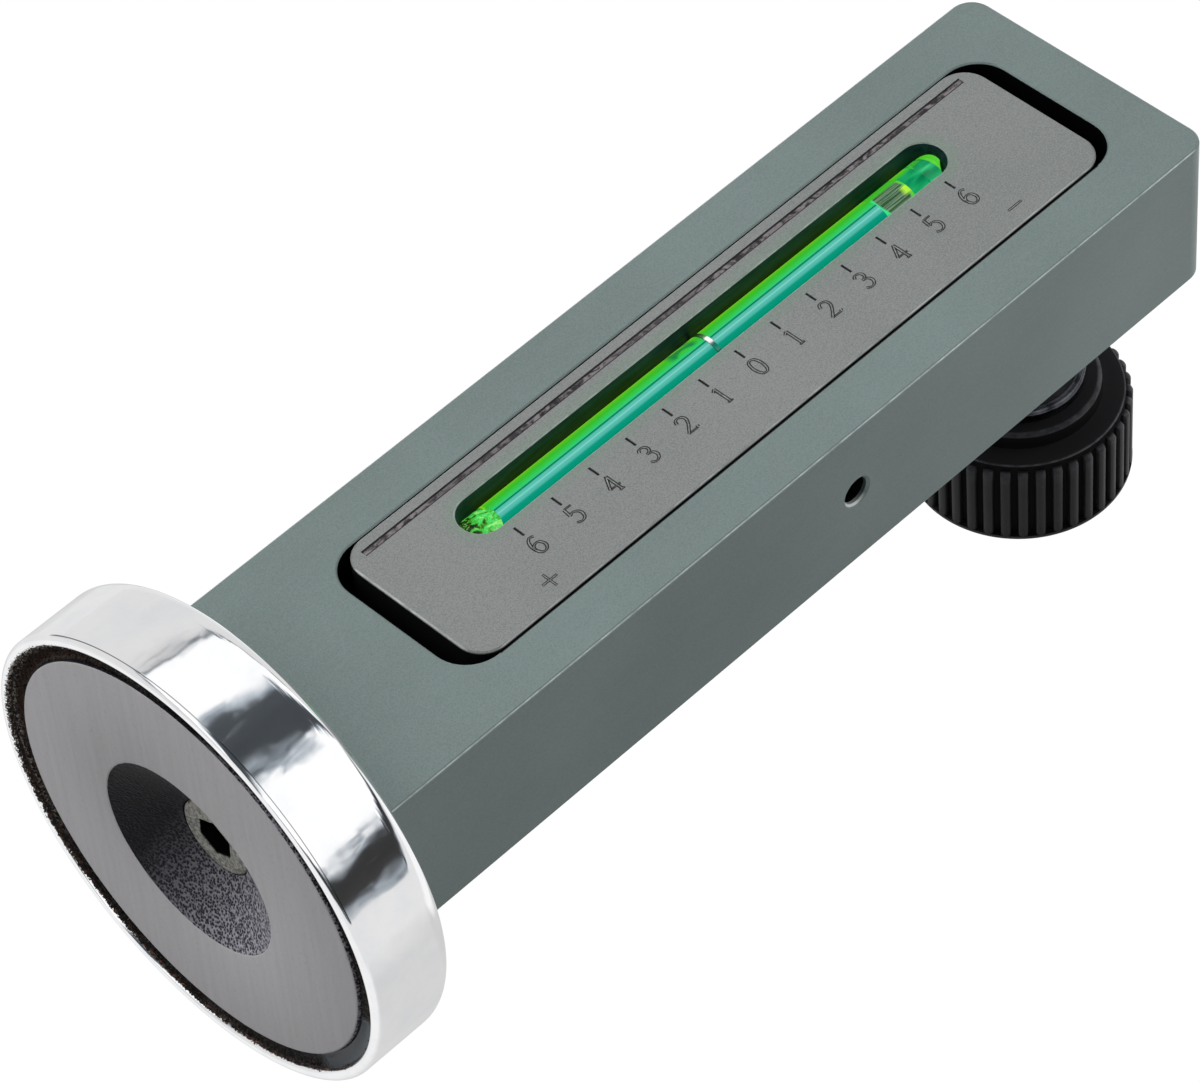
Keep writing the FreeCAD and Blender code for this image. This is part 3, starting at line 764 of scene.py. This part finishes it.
def air_bubble():
    look = Look("vial_bubble", Roughness=0.2, Specular_IOR_Level=0.2)
    run = look.axis("X")
    turn = look.around(look.axis("Y"), look.axis("Z"))
    lines = look.noise(90, 3, 0.65, look.stretch((1.2, 130, 130)), 0.5)
    middle = look.mix(look.span(lines, 0.42, 0.58), tone(30, 70, 42), tone(122, 150, 118))
    # The bubble's two ends bend away from the line at its top
    bend = look.times(look.minus(turn, 0.25), look.minus(turn, 0.25))
    left = look.minus(run, look.times(bend, 30 * MM))
    colour = look.mix(look.fade(left, -1.75, -1.95), middle, tone(60, 232, 140))
    right = look.plus(run, look.times(bend, 20 * MM))
    colour = look.mix(look.fade(right, 1.6, 1.85), colour, tone(96, 216, 60))
    # A painted glint near the bubble's right end
    painted_glint = look.times(
        look.fade(right, 0.9, 1.5), look.span(turn, 0.24, 0.26), look.span(turn, 0.33, 0.31)
    )
    colour = look.mix(painted_glint, colour, tone(186, 246, 60))
    colour = look.mix(look.span(turn, 0.175, 0.15), colour, tone(70, 190, 44))
    colour = look.mix(look.span(turn, 0.36, 0.38), colour, tone(8, 146, 112))
    glowing(look, colour)
    look.bump(lines, 0.05, 0.5)
    return look


def bed_resin():
    look = Look("bed_resin", Roughness=0.4)
    cloud = look.noise(400, 3, 0.5)
    colour = look.mix(look.span(cloud, 0.3, 0.7), tone(4, 40, 20), tone(14, 70, 36))
    look.set("Base Color", colour)
    look.bump(cloud, 0.02, 0.5)
    return look


def index_black():
    look = Look("index_black", Roughness=0.2, Specular_IOR_Level=0.6)
    fleck = look.noise(1800, 2, 0.5)
    # A painted highlight: a white band across the black ring, by angle round the vial's axis
    colour = look.ramp(look.plus(round_vial(look), look.span(fleck, 0, 1, -0.01, 0.01)), [
        (0.10, tone(22, 60, 18)),
        (0.17, tone(34, 66, 30)),
        (0.222, tone(70, 104, 74)),
        (0.242, tone(240, 236, 234)),
        (0.276, tone(228, 218, 218)),
        (0.290, tone(124, 132, 130)),
        (0.302, tone(30, 92, 80)),
        (0.318, tone(6, 118, 94)),
        (0.34, tone(4, 128, 102)),
    ])
    look.set("Base Color", colour)
    look.bump(fleck, 0.01, 0.4)
    return look


cup_look = bright_plating()
magnet_look = ceramic_magnet()
resin_look = black_resin()
pin_look = ground_steel()
wire_look = wire_steel()
knob_look = knob_plastic()
paint_look = dark_paint()
groove_look = cut_floor()
border_look = scratched_line()
tube_look = clear_tube()
liquid_look = green_liquid()
plug_look = lime_plug()
bubble_look = air_bubble()

# CAD nodes that stay as they are
for node, look, slot in (
    ("body", anodised_bar(), "body_metal"),
    ("rocker", blasted_plate(), "rocker_metal"),
    ("magnet_screw", plated_steel(), "fastener_steel"),
    ("pivot_pin", pin_look, "pin_steel"),
    ("screw_pad", pin_look, "pin_steel"),
    ("thrust_washer", black_washer(), "washer_steel"),
    ("vial_bed", bed_resin(), "bed_resin"),
    ("index_ring", index_black(), "index_black"),
    ("adjusting_screw", screw_steel(), "fastener_steel"),
):
    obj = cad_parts[node]
    obj.data.materials.clear()
    obj.data.materials.append(look.material)


# Pot magnet

def make_cup():
    screw_hole = 2.75
    back_round, rim_round, lip_round = 2.1, 0.6, 0.5
    profile = [(CUP_DEPTH, screw_hole)]
    profile += corner(CUP_DEPTH, CUP_RADIUS, back_round, (0, -1), (-1, 0), 14)
    profile += corner(0, CUP_RADIUS, rim_round, (1, 0), (0, -1), 10)
    profile += corner(0, CUP_BORE, lip_round, (0, 1), (1, 0), 8)
    profile += [(CUP_FLOOR, CUP_BORE), (CUP_FLOOR, screw_hole)]
    shape = lathe(profile, along_x(0, 0), 256)
    piece("magnet_cup_plated", shape, cup_look, "bar", "magnet_cup", sharp=40)


def make_magnet():
    """The ring, with a rough cone down to a collar round the screw's head."""
    hole, collar, mouth = 4.55, 4.32, 10.95
    cone_depth, cone_reach, rows = 3.35, 6.53, 26
    profile = corner(MAGNET_FACE, MAGNET_RADIUS, 0.3, (0, -1), (1, 0), 4)
    profile += [
        (CUP_FLOOR, MAGNET_RADIUS), (CUP_FLOOR, hole), (4.4, hole), (4.3, collar),
        (HEAD_FACE, collar),
    ]
    for k in range(1, rows):
        share = k / rows
        profile.append((HEAD_FACE - cone_depth * share, collar + cone_reach * share))
    profile += [(MAGNET_FACE + 0.02, mouth - 0.07), (MAGNET_FACE, mouth)]

    def spin(x, r, angle):
        rough = 0.0
        if 4.6 < r < 10.8 and x < HEAD_FACE - 0.1:
            rough = random.uniform(-0.035, 0.035)
        return (x + rough, r * math.cos(angle), r * math.sin(angle))

    shape = lathe(profile, spin, 240)
    piece(
        "ring_magnet_ground", shape, magnet_look, "bar", "ring_magnet", sharp=28
    )


def make_bond():
    """Resin poured between magnet and cup: crumbly, but smooth where it ran together below."""
    inner, outer, depth = MAGNET_RADIUS + 0.02, CUP_BORE - 0.03, 6.0
    profile = [(0.75, inner), (0.9, 22.4), (1.0, 22.7), (1.0, 23.0), (0.95, 23.3), (0.85, 23.55)]
    profile += [(0.75, outer), (depth, outer), (depth, inner)]
    low, high = math.radians(191), math.radians(232)

    def spin(x, r, angle):
        if x < 2:
            smooth = low < angle < high
            wave = 0.12 * math.sin(3 * angle + r) * math.sin(7 * angle + 1.3)
            x += wave * (0.2 if smooth else 1.0)
            x += random.uniform(-0.1, 0.1) * (0.02 if smooth else 1.0)
        return (x, r * math.cos(angle), r * math.sin(angle))

    shape = lathe(profile, spin, 540)
    piece("magnet_bond_rough", shape, resin_look, "bar", "magnet_bond")


def make_crumbs():
    """Crumbs of resin on the cup's lip, thickest at its far upper side."""
    count, on_one_side, on_bond = 2600, 2200, 1300
    thick_at, lip_round, bond_x = 20, 0.5, 0.85
    parts = []
    for k in range(count):
        spread = random.gauss(thick_at, 26) if k < on_one_side else random.uniform(0, 360)
        angle = math.radians(spread)
        if k < on_bond:
            r = random.uniform(22.4, 23.8)
        else:
            thick = math.exp(-(math.degrees(angle) - thick_at) ** 2 / 1800)
            r = 23.7 + abs(random.gauss(0, 0.05 + 0.14 * thick))
        size = random.uniform(0.05, 0.16)
        bed = bond_x
        if r > CUP_BORE:
            inward = max(0.0, CUP_BORE + lip_round - r)
            bed = lip_round - math.sqrt(max(0.0, lip_round ** 2 - inward ** 2))
        x = max(bed - 0.3 * size, 0.95 * size + 0.005)
        centre = Vector((x, r * math.cos(angle), r * math.sin(angle)))
        points = []
        for way in ((1, 0, 0), (-1, 0, 0), (0, 1, 0), (0, -1, 0), (0, 0, 1), (0, 0, -1)):
            points.append(centre + Vector(way) * size * random.uniform(0.55, 0.95))
        faces = [
            (0, 2, 4), (2, 1, 4), (1, 3, 4), (3, 0, 4), (2, 0, 5), (1, 2, 5), (3, 1, 5), (0, 3, 5)
        ]
        parts.append((points, faces))
    piece("bond_crumbs", join(parts), resin_look, "bar", smooth=False)


def join(parts):
    points, faces = [], []
    for some_points, some_faces in parts:
        shift = len(points)
        points += some_points
        faces += [tuple(i + shift for i in f) for f in some_faces]
    return points, faces


make_cup()
make_magnet()
make_bond()
make_crumbs()


# Vial

def rod(near, far, radius, end_radius, sides=96, rows=40):
    """A round bar along the vial, cut at both ends by an upright wall as round as the slot."""
    points, faces = [], []
    rings = 14
    stations = [("near", k / rings) for k in range(rings + 1)]
    stations += [("side", k / rows) for k in range(1, rows)]
    stations += [("far", 1 - k / rings) for k in range(rings + 1)]
    for part, share in stations:
        inward = 1.0 if part == "side" else math.sin(math.pi / 2 * max(share, 0.004))
        for i in range(sides):
            angle = 2 * math.pi * i / sides
            y = radius * math.cos(angle) * inward
            z = radius * math.sin(angle) * inward
            bulge = end_radius - math.sqrt(end_radius ** 2 - y ** 2)
            low, high = near + bulge, far - bulge
            x = low if part == "near" else high if part == "far" else low + (high - low) * share
            points.append((x, VIAL_Y + y, VIAL_Z + z))
    for k in range(len(stations) - 1):
        for i in range(sides):
            j = (i + 1) % sides
            faces.append((k * sides + i, k * sides + j, (k + 1) * sides + j, (k + 1) * sides + i))
    last = (len(stations) - 1) * sides
    faces += [tuple(range(sides - 1, -1, -1)), tuple(range(last, last + sides))]
    return points, faces


def make_vial():
    """The tube, the liquid as a closed round bar, the two plugs and the bubble."""
    shape = rod(VIAL_NEAR, VIAL_FAR, 2.395, 2.4)
    piece("vial_tube_clear", shape, tube_look, "rocking_bar", "vial_tube", sharp=35)

    near, far, rows, tip = 44.05, 102.7, 40, 0.001
    profile = [(near, tip)]
    profile += [(near + (far - near) * k / rows, CORE_RADIUS) for k in range(rows + 1)]
    profile += [(far, tip)]
    shape = lathe(profile, along_x(VIAL_Y, VIAL_Z), 96, False)
    piece(
        "vial_liquid_green", shape, liquid_look, "rocking_bar", "vial_liquid",
        sharp=50,
    )

    for name, near, far, face, side in (
        ("near_plug", 40.6, 44.02, 44.02, min),
        ("far_plug", 102.74, 104.85, 102.74, max),
    ):
        points, faces = rod(near, far, CORE_RADIUS, PLUG_ROUND, 72, 12)
        shape = [(side(x, face), y, z) for x, y, z in points], faces
        piece(name + "_lime", shape, plug_look, "rocking_bar", name, sharp=40)

    half, widest, steps = 2.2, 1.78, 40
    profile = []
    for k in range(steps + 1):
        share = math.sin(math.pi / 2 * (-1 + 2 * k / steps))
        radius = widest * (1 - abs(share) ** 24) ** 0.5
        profile.append((BUBBLE_X + half * share, max(tip, radius)))
    shape = lathe(profile, along_x(VIAL_Y, VIAL_Z), 96, False)
    piece("vial_bubble_air", shape, bubble_look, "bubble", "vial_bubble",
          origin=(BUBBLE_X, VIAL_Y, VIAL_Z))


make_vial()


# Scale: painted ticks, border line and numbers

def smooth_run(points, steps=8):
    """A smooth line through points."""
    if len(points) < 3:
        return [Vector(p) for p in points]
    ends = [2 * Vector(points[0]) - Vector(points[1])] + [Vector(p) for p in points]
    ends.append(2 * Vector(points[-1]) - Vector(points[-2]))
    out = []
    for k in range(1, len(ends) - 2):
        a, b, c, d = ends[k - 1:k + 3]
        for i in range(steps):
            t = i / steps
            square, cube = 2 * a - 5 * b + 4 * c - d, 3 * b - a - 3 * c + d
            out.append(0.5 * (2 * b + (c - a) * t + square * t * t + cube * t ** 3))
    return out + [ends[-2]]


# Paint lies this far above the plate, and the floor of a cut as drawn a little above the paint.
PAINT_LIFT = 0.006
CUT_LIFT = 0.009

# Strokes of the numerals, in shares of their height
NUMERALS = {
    "0": [
        [
            (.32, 1), (.14, .88), (.06, .5), (.14, .12), (.32, 0), (.5, .12), (.58, .5), (.5, .88),
            (.32, 1),
        ],
    ],
    "1": [[(.16, .86), (.34, 1)], [(.34, 1), (.34, 0)], [(.18, 0), (.5, 0)]],
    "2": [
        [(.07, .76), (.15, .94), (.33, 1), (.52, .9), (.56, .7), (.44, .46), (.2, .18), (.04, .01)],
        [(.04, .01), (.6, .01)], [(.6, .01), (.62, .12)],
    ],
    "3": [
        [(.08, .84), (.2, .98), (.38, .98), (.52, .84), (.48, .64), (.26, .55)],
        [(.26, .55), (.5, .5), (.6, .28), (.48, .06), (.26, 0), (.05, .12)],
    ],
    "4": [[(.44, 1), (.03, .3)], [(.03, .3), (.63, .3)], [(.44, 1), (.44, 0)], [(.3, 0), (.58, 0)]],
    "5": [
        [(.58, 1), (.17, 1)], [(.17, 1), (.12, .56)],
        [(.12, .56), (.3, .64), (.5, .56), (.6, .34), (.5, .08), (.28, 0), (.05, .1)],
    ],
    "6": [
        [
            (.54, .93), (.36, 1), (.18, .88), (.06, .6), (.06, .3), (.16, .06), (.34, 0),
            (.52, .1), (.59, .32), (.5, .54), (.32, .6), (.12, .5), (.06, .34),
        ],
    ],
}


def ribbon(run, place, height, thick, thin, lift=PAINT_LIFT):
    """A flat strip along a run, thicker where it goes up and down, as engraved numerals are."""
    points, faces = [], []
    for k, here in enumerate(run):
        way = (run[min(k + 1, len(run) - 1)] - run[max(k - 1, 0)]).normalized()
        half = (thin + (thick - thin) * abs(way.y)) / 2
        side = Vector((-way.y, way.x)) * half
        for sign in (-1, 1):
            spot = here * height + side * sign
            points.append((place[0] + spot.x, place[1] + spot.y, TOP_Z + lift))
    for k in range(len(run) - 1):
        faces.append((2 * k, 2 * k + 2, 2 * k + 3, 2 * k + 1))
    return points, faces


def slab(x_low, x_high, y_low, y_high, z):
    points = [(x_low, y_low, z), (x_high, y_low, z), (x_high, y_high, z), (x_low, y_high, z)]
    return points, [(0, 1, 2, 3)]


def make_scale():
    """Degrees 0 to 6 each way, a plus and a minus at the ends, ticks and a border line."""
    pitch, height = 4.955, 2.2
    half_digit, foot_y = 0.32 * height, -4.38
    half_tick, tick_low, tick_high = 0.15, -1.58, -0.22
    dark, pale, marks = [], [], []
    for k in range(-6, 7):
        x = MIDDLE + k * pitch
        spot = (x - half_digit, foot_y)
        for stroke in NUMERALS[str(abs(k))]:
            run = smooth_run([Vector(p) for p in stroke])
            dark.append(ribbon(run, spot, height, 0.4, 0.25))
            pale.append(ribbon(run, spot, height, 0.14, 0.03, CUT_LIFT))
        marks.append(slab(x - half_tick, x + half_tick, tick_low, tick_high, TOP_Z - 0.1))
    level, upright = [[Vector((-0.5, 0)), Vector((0.5, 0))], [Vector((0, -0.5)), Vector((0, 0.5))]]
    for spot, strokes in (((40.7, -7.2), [level, upright]), ((104.5, -7.5), [level])):
        for run in strokes:
            dark.append(ribbon(run, spot, 1.9, 0.3, 0.3))
            pale.append(ribbon(run, spot, 1.8, 0.1, 0.1, CUT_LIFT))
    border = slab(31.52, 113.93, 7.62, 8.38, TOP_Z - 0.09)
    for name, parts, look in (
        ("scale_numerals", dark, paint_look),
        ("scale_numerals_cut", pale, groove_look),
        ("scale_ticks", marks, paint_look),
        ("scale_border", [border], border_look),
    ):
        piece(name, join(parts), look, "rocking_bar", smooth=False, solid=False)


make_scale()


# Knob, screw and springs

def make_knob():
    """A round core with ribs that start below its face and end on a band at the foot."""
    foot = KNOB_FACE - 10.65
    rim, hub, boss = 11.85, 11.1, 8.65
    crown, band, fall = KNOB_FACE - 0.75, foot + 0.6, 0.4
    head = [(BOSS_TOP, 2.52), (BOSS_TOP, 6.0)]
    head += corner(BOSS_TOP, boss, 0.55, (0, -1), (-1, 0), 6)
    head += corner(KNOB_FACE, boss, 0.15, (1, 0), (0, 1), 3)
    head += [(KNOB_FACE, 9.8)]
    head += corner(KNOB_FACE, hub, 0.25, (0, -1), (-1, 0), 4)
    ribbed = [crown + 0.02, crown, crown - 0.04, crown - 0.12, crown - 0.25, crown - fall]
    ribbed += [crown - fall + (band - crown + fall) * k / 6 for k in range(1, 7)]
    rounding = [1.0, 1.0, 0.83, 0.55, 0.2, 0.0] + [0.0] * 6
    tail = [(band - 0.01, rim)]
    tail += corner(foot, rim, 0.35, (1, 0), (0, -1), 5)
    tail += [(foot, 8.5), (foot + 0.6, 7.9), (foot + 0.6, 0.001)]
    rows = len(head) + len(ribbed) + len(tail)
    steps = RIBS * 24
    pitch = 2 * math.pi / RIBS
    first_rib = math.radians(8)
    top_half, flank = 0.46, 0.14
    points, faces = [], []
    for k in range(steps):
        angle = 2 * math.pi * k / steps
        across = abs((angle - first_rib) / pitch % 1.0 - 0.5)
        run = (0.5 - across) * pitch * rim
        if run < top_half:
            height = 0.75 - 0.12 * (run / top_half) ** 2
        elif run < top_half + flank:
            height = 0.63 * (1 - ((run - top_half) / flank) ** 2)
        else:
            height = 0.0
        ring = list(head)
        for i, z in enumerate(ribbed):
            r = hub + max(0.0, height - 0.3 * rounding[i]) if i else hub
            ring.append((z, r))
        ring += tail
        points += [(KNOB_X + r * math.cos(angle), r * math.sin(angle), z) for z, r in ring]
    for k in range(steps):
        here, there = k * rows, (k + 1) % steps * rows
        for i in range(rows - 1):
            faces.append((here + i, here + i + 1, there + i + 1, there + i))
    piece(
        "knob_ribbed", (points, faces), knob_look, "knob_and_screw", "knob",
        sharp=38,
    )


make_knob()

low, high, wire = BOSS_TOP + 0.5, BAR_FOOT, 0.5
shape = tube(coil(KNOB_X, 0, low, high, radius=6.5, wire=wire, turns=5), wire, sides=16)
spring = piece("knob_spring_coil", shape, wire_look, None, "knob_spring", sharp=50)
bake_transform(spring)

low, high, wire = -7.2, 0.6, 0.3
shape = tube(coil(RETURN_X, 0, low, high, radius=2.2, wire=wire, turns=4), wire, sides=12)
spring = piece(
    "return_spring_coil", shape, wire_look, None, "return_spring", sharp=50
)
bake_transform(spring)


# Stage: floor, light and camera

def grey(level):
    return (level, level, level, 1)


def rays(nodes):
    """Which rays see a plain white background, and which are reflections."""
    path = nodes.node("ShaderNodeLightPath").outputs
    return nodes.most(path["Is Camera Ray"], path["Is Transmission Ray"]), path["Is Glossy Ray"]


def pale_floor():
    """White to the camera, plain to the lamps, and a strip of greys in reflections."""
    material = bpy.data.materials.new("floor_pale")
    nodes = Nodes(material)
    matt = nodes.node("ShaderNodeBsdfDiffuse", grey(0.35)).outputs[0]
    shaded = nodes.node("ShaderNodeBsdfDiffuse", grey(0.9)).outputs[0]
    white = nodes.node("ShaderNodeEmission", grey(1), 1.0).outputs[0]
    start, length = -0.1, 0.3
    greys = (
        (-0.06, 0.9), (0.0, 0.73), (0.065, 0.66), (0.09, 0.67), (0.13, 0.62), (0.165, 0.64),
        (0.2, 0.96),
    )
    aside = nodes.span(nodes.size(nodes.axis("Y")), 0.18, 0.3)
    run = nodes.span(nodes.axis("X"), start, start + length)
    strip = nodes.ramp(run, [((x - start) / length, grey(level)) for x, level in greys])
    level = nodes.span(aside, 0.0, 1.0, strip, 0.79)
    pale = nodes.node("ShaderNodeEmission", level, 1.0).outputs[0]
    clear, glossy = rays(nodes)
    seen = nodes.blend(0.93, shaded, white)
    nodes.finish(nodes.blend(glossy, nodes.blend(clear, matt, seen), pale))
    mesh = bpy.data.meshes.new("floor")
    reach, low = 1.2, -0.14
    corners = [
        (-reach, -reach, low), (reach, -reach, low), (reach, reach, low), (-reach, reach, low)
    ]
    mesh.from_pydata(corners, [], [(0, 1, 2, 3)])
    mesh.materials.append(material)
    obj = bpy.data.objects.new("floor", mesh)
    bpy.context.collection.objects.link(obj)


def studio_world():
    """White behind, soft grey light, and in reflections two bright walls between dark gaps."""
    world = bpy.data.worlds.new("studio")
    bpy.context.scene.world = world
    nodes = Nodes(world)
    way = nodes.node("ShaderNodeTexCoord").outputs["Generated"]
    # Turn round the X axis from straight up toward -Y, a little ragged; its levels by degrees
    turn = nodes.maths("ARCTAN2", nodes.times(nodes.axis("Y", way), -1.0), nodes.axis("Z", way))
    wander = nodes.span(nodes.noise(9, 3, 0.6, way), 0.3, 0.7, -0.017, 0.017)
    place = nodes.plus(nodes.span(turn, -math.pi, math.pi), wander)
    levels = (
        (-180, 0.76), (-50, 0.74), (-43, 0.6), (-41, 0.16), (-39, 0.3), (-37, 1.05), (-8, 1.05),
        (-3, 0.55), (1, 0.085), (20, 0.065), (24, 0.5), (28, 1.05), (70, 1.05), (73, 0.4),
        (77, 0.035), (93, 0.045), (97, 0.4), (105, 0.7), (120, 0.78), (150, 0.7), (180, 0.6),
    )
    stops = []
    for angle, level in levels:
        cool = 0.8 if 0.05 < level < 0.56 else 1.0
        stops.append((0.5 + angle / 360, (level * cool, level * (1 + cool) / 2, level, 1)))
    bands = nodes.ramp(place, stops)
    sky = nodes.node("ShaderNodeBackground", (0.97, 0.98, 1.0, 1), 0.26).outputs[0]
    # Darker in a narrow belt of directions square to the bar
    seam = nodes.span(nodes.size(nodes.plus(nodes.axis("X", way), -0.08)), 0.06, 0.14, 0.15, 1.0)
    mirrored = nodes.node("ShaderNodeBackground", bands, seam).outputs[0]
    white = nodes.node("ShaderNodeBackground", grey(1), 1.0).outputs[0]
    clear, glossy = rays(nodes)
    nodes.finish(nodes.blend(clear, nodes.blend(glossy, sky, mirrored), white), "World Output")


def lamp(name, direction, reach, size, power):
    """A soft lamp, reach metres from the middle of the object, kept out of reflections."""
    data = bpy.data.lights.new(name, "AREA")
    data.shape = "RECTANGLE"
    data.size, data.size_y = size
    data.energy = power
    obj = bpy.data.objects.new(name, data)
    middle = Vector((0.06, 0, 0))
    obj.location = middle + Vector(direction).normalized() * reach
    obj.rotation_mode = "QUATERNION"
    obj.rotation_quaternion = Vector(direction).to_track_quat("Z", "Y")
    obj.visible_glossy = False
    obj.visible_transmission = False
    bpy.context.collection.objects.link(obj)


def make_camera():
    """At the photograph's angle, from a pinhole camera fitted to the object's outlines."""
    data = bpy.data.cameras.new("camera")
    data.sensor_width = 36
    data.lens = 167.55
    data.clip_start, data.clip_end = 0.01, 20
    obj = bpy.data.objects.new("camera", data)
    place = Vector((-177.7, -261.7, 397.44)) * MM
    aim = Vector((52.5, -1.3, 0)) * MM
    roll = Quaternion((0, 0, 1), math.radians(-5.447))
    obj.location = place
    obj.rotation_mode = "QUATERNION"
    obj.rotation_quaternion = (aim - place).to_track_quat("-Z", "Y") @ roll
    bpy.context.collection.objects.link(obj)
    bpy.context.scene.camera = obj


pale_floor()
studio_world()
lamp("key", (-0.4, 0.48, 0.78), 0.7, (0.6, 0.6), 5.7)
lamp("far_wall", (0.37, 0.4, 0.84), 0.7, (0.43, 0.9), 1.8)
lamp("near_wall", (0.93, -0.44, 0.3), 0.3, (0.2, 0.42), 0.7)
make_camera()
bpy.context.scene.view_settings.view_transform = "Standard"
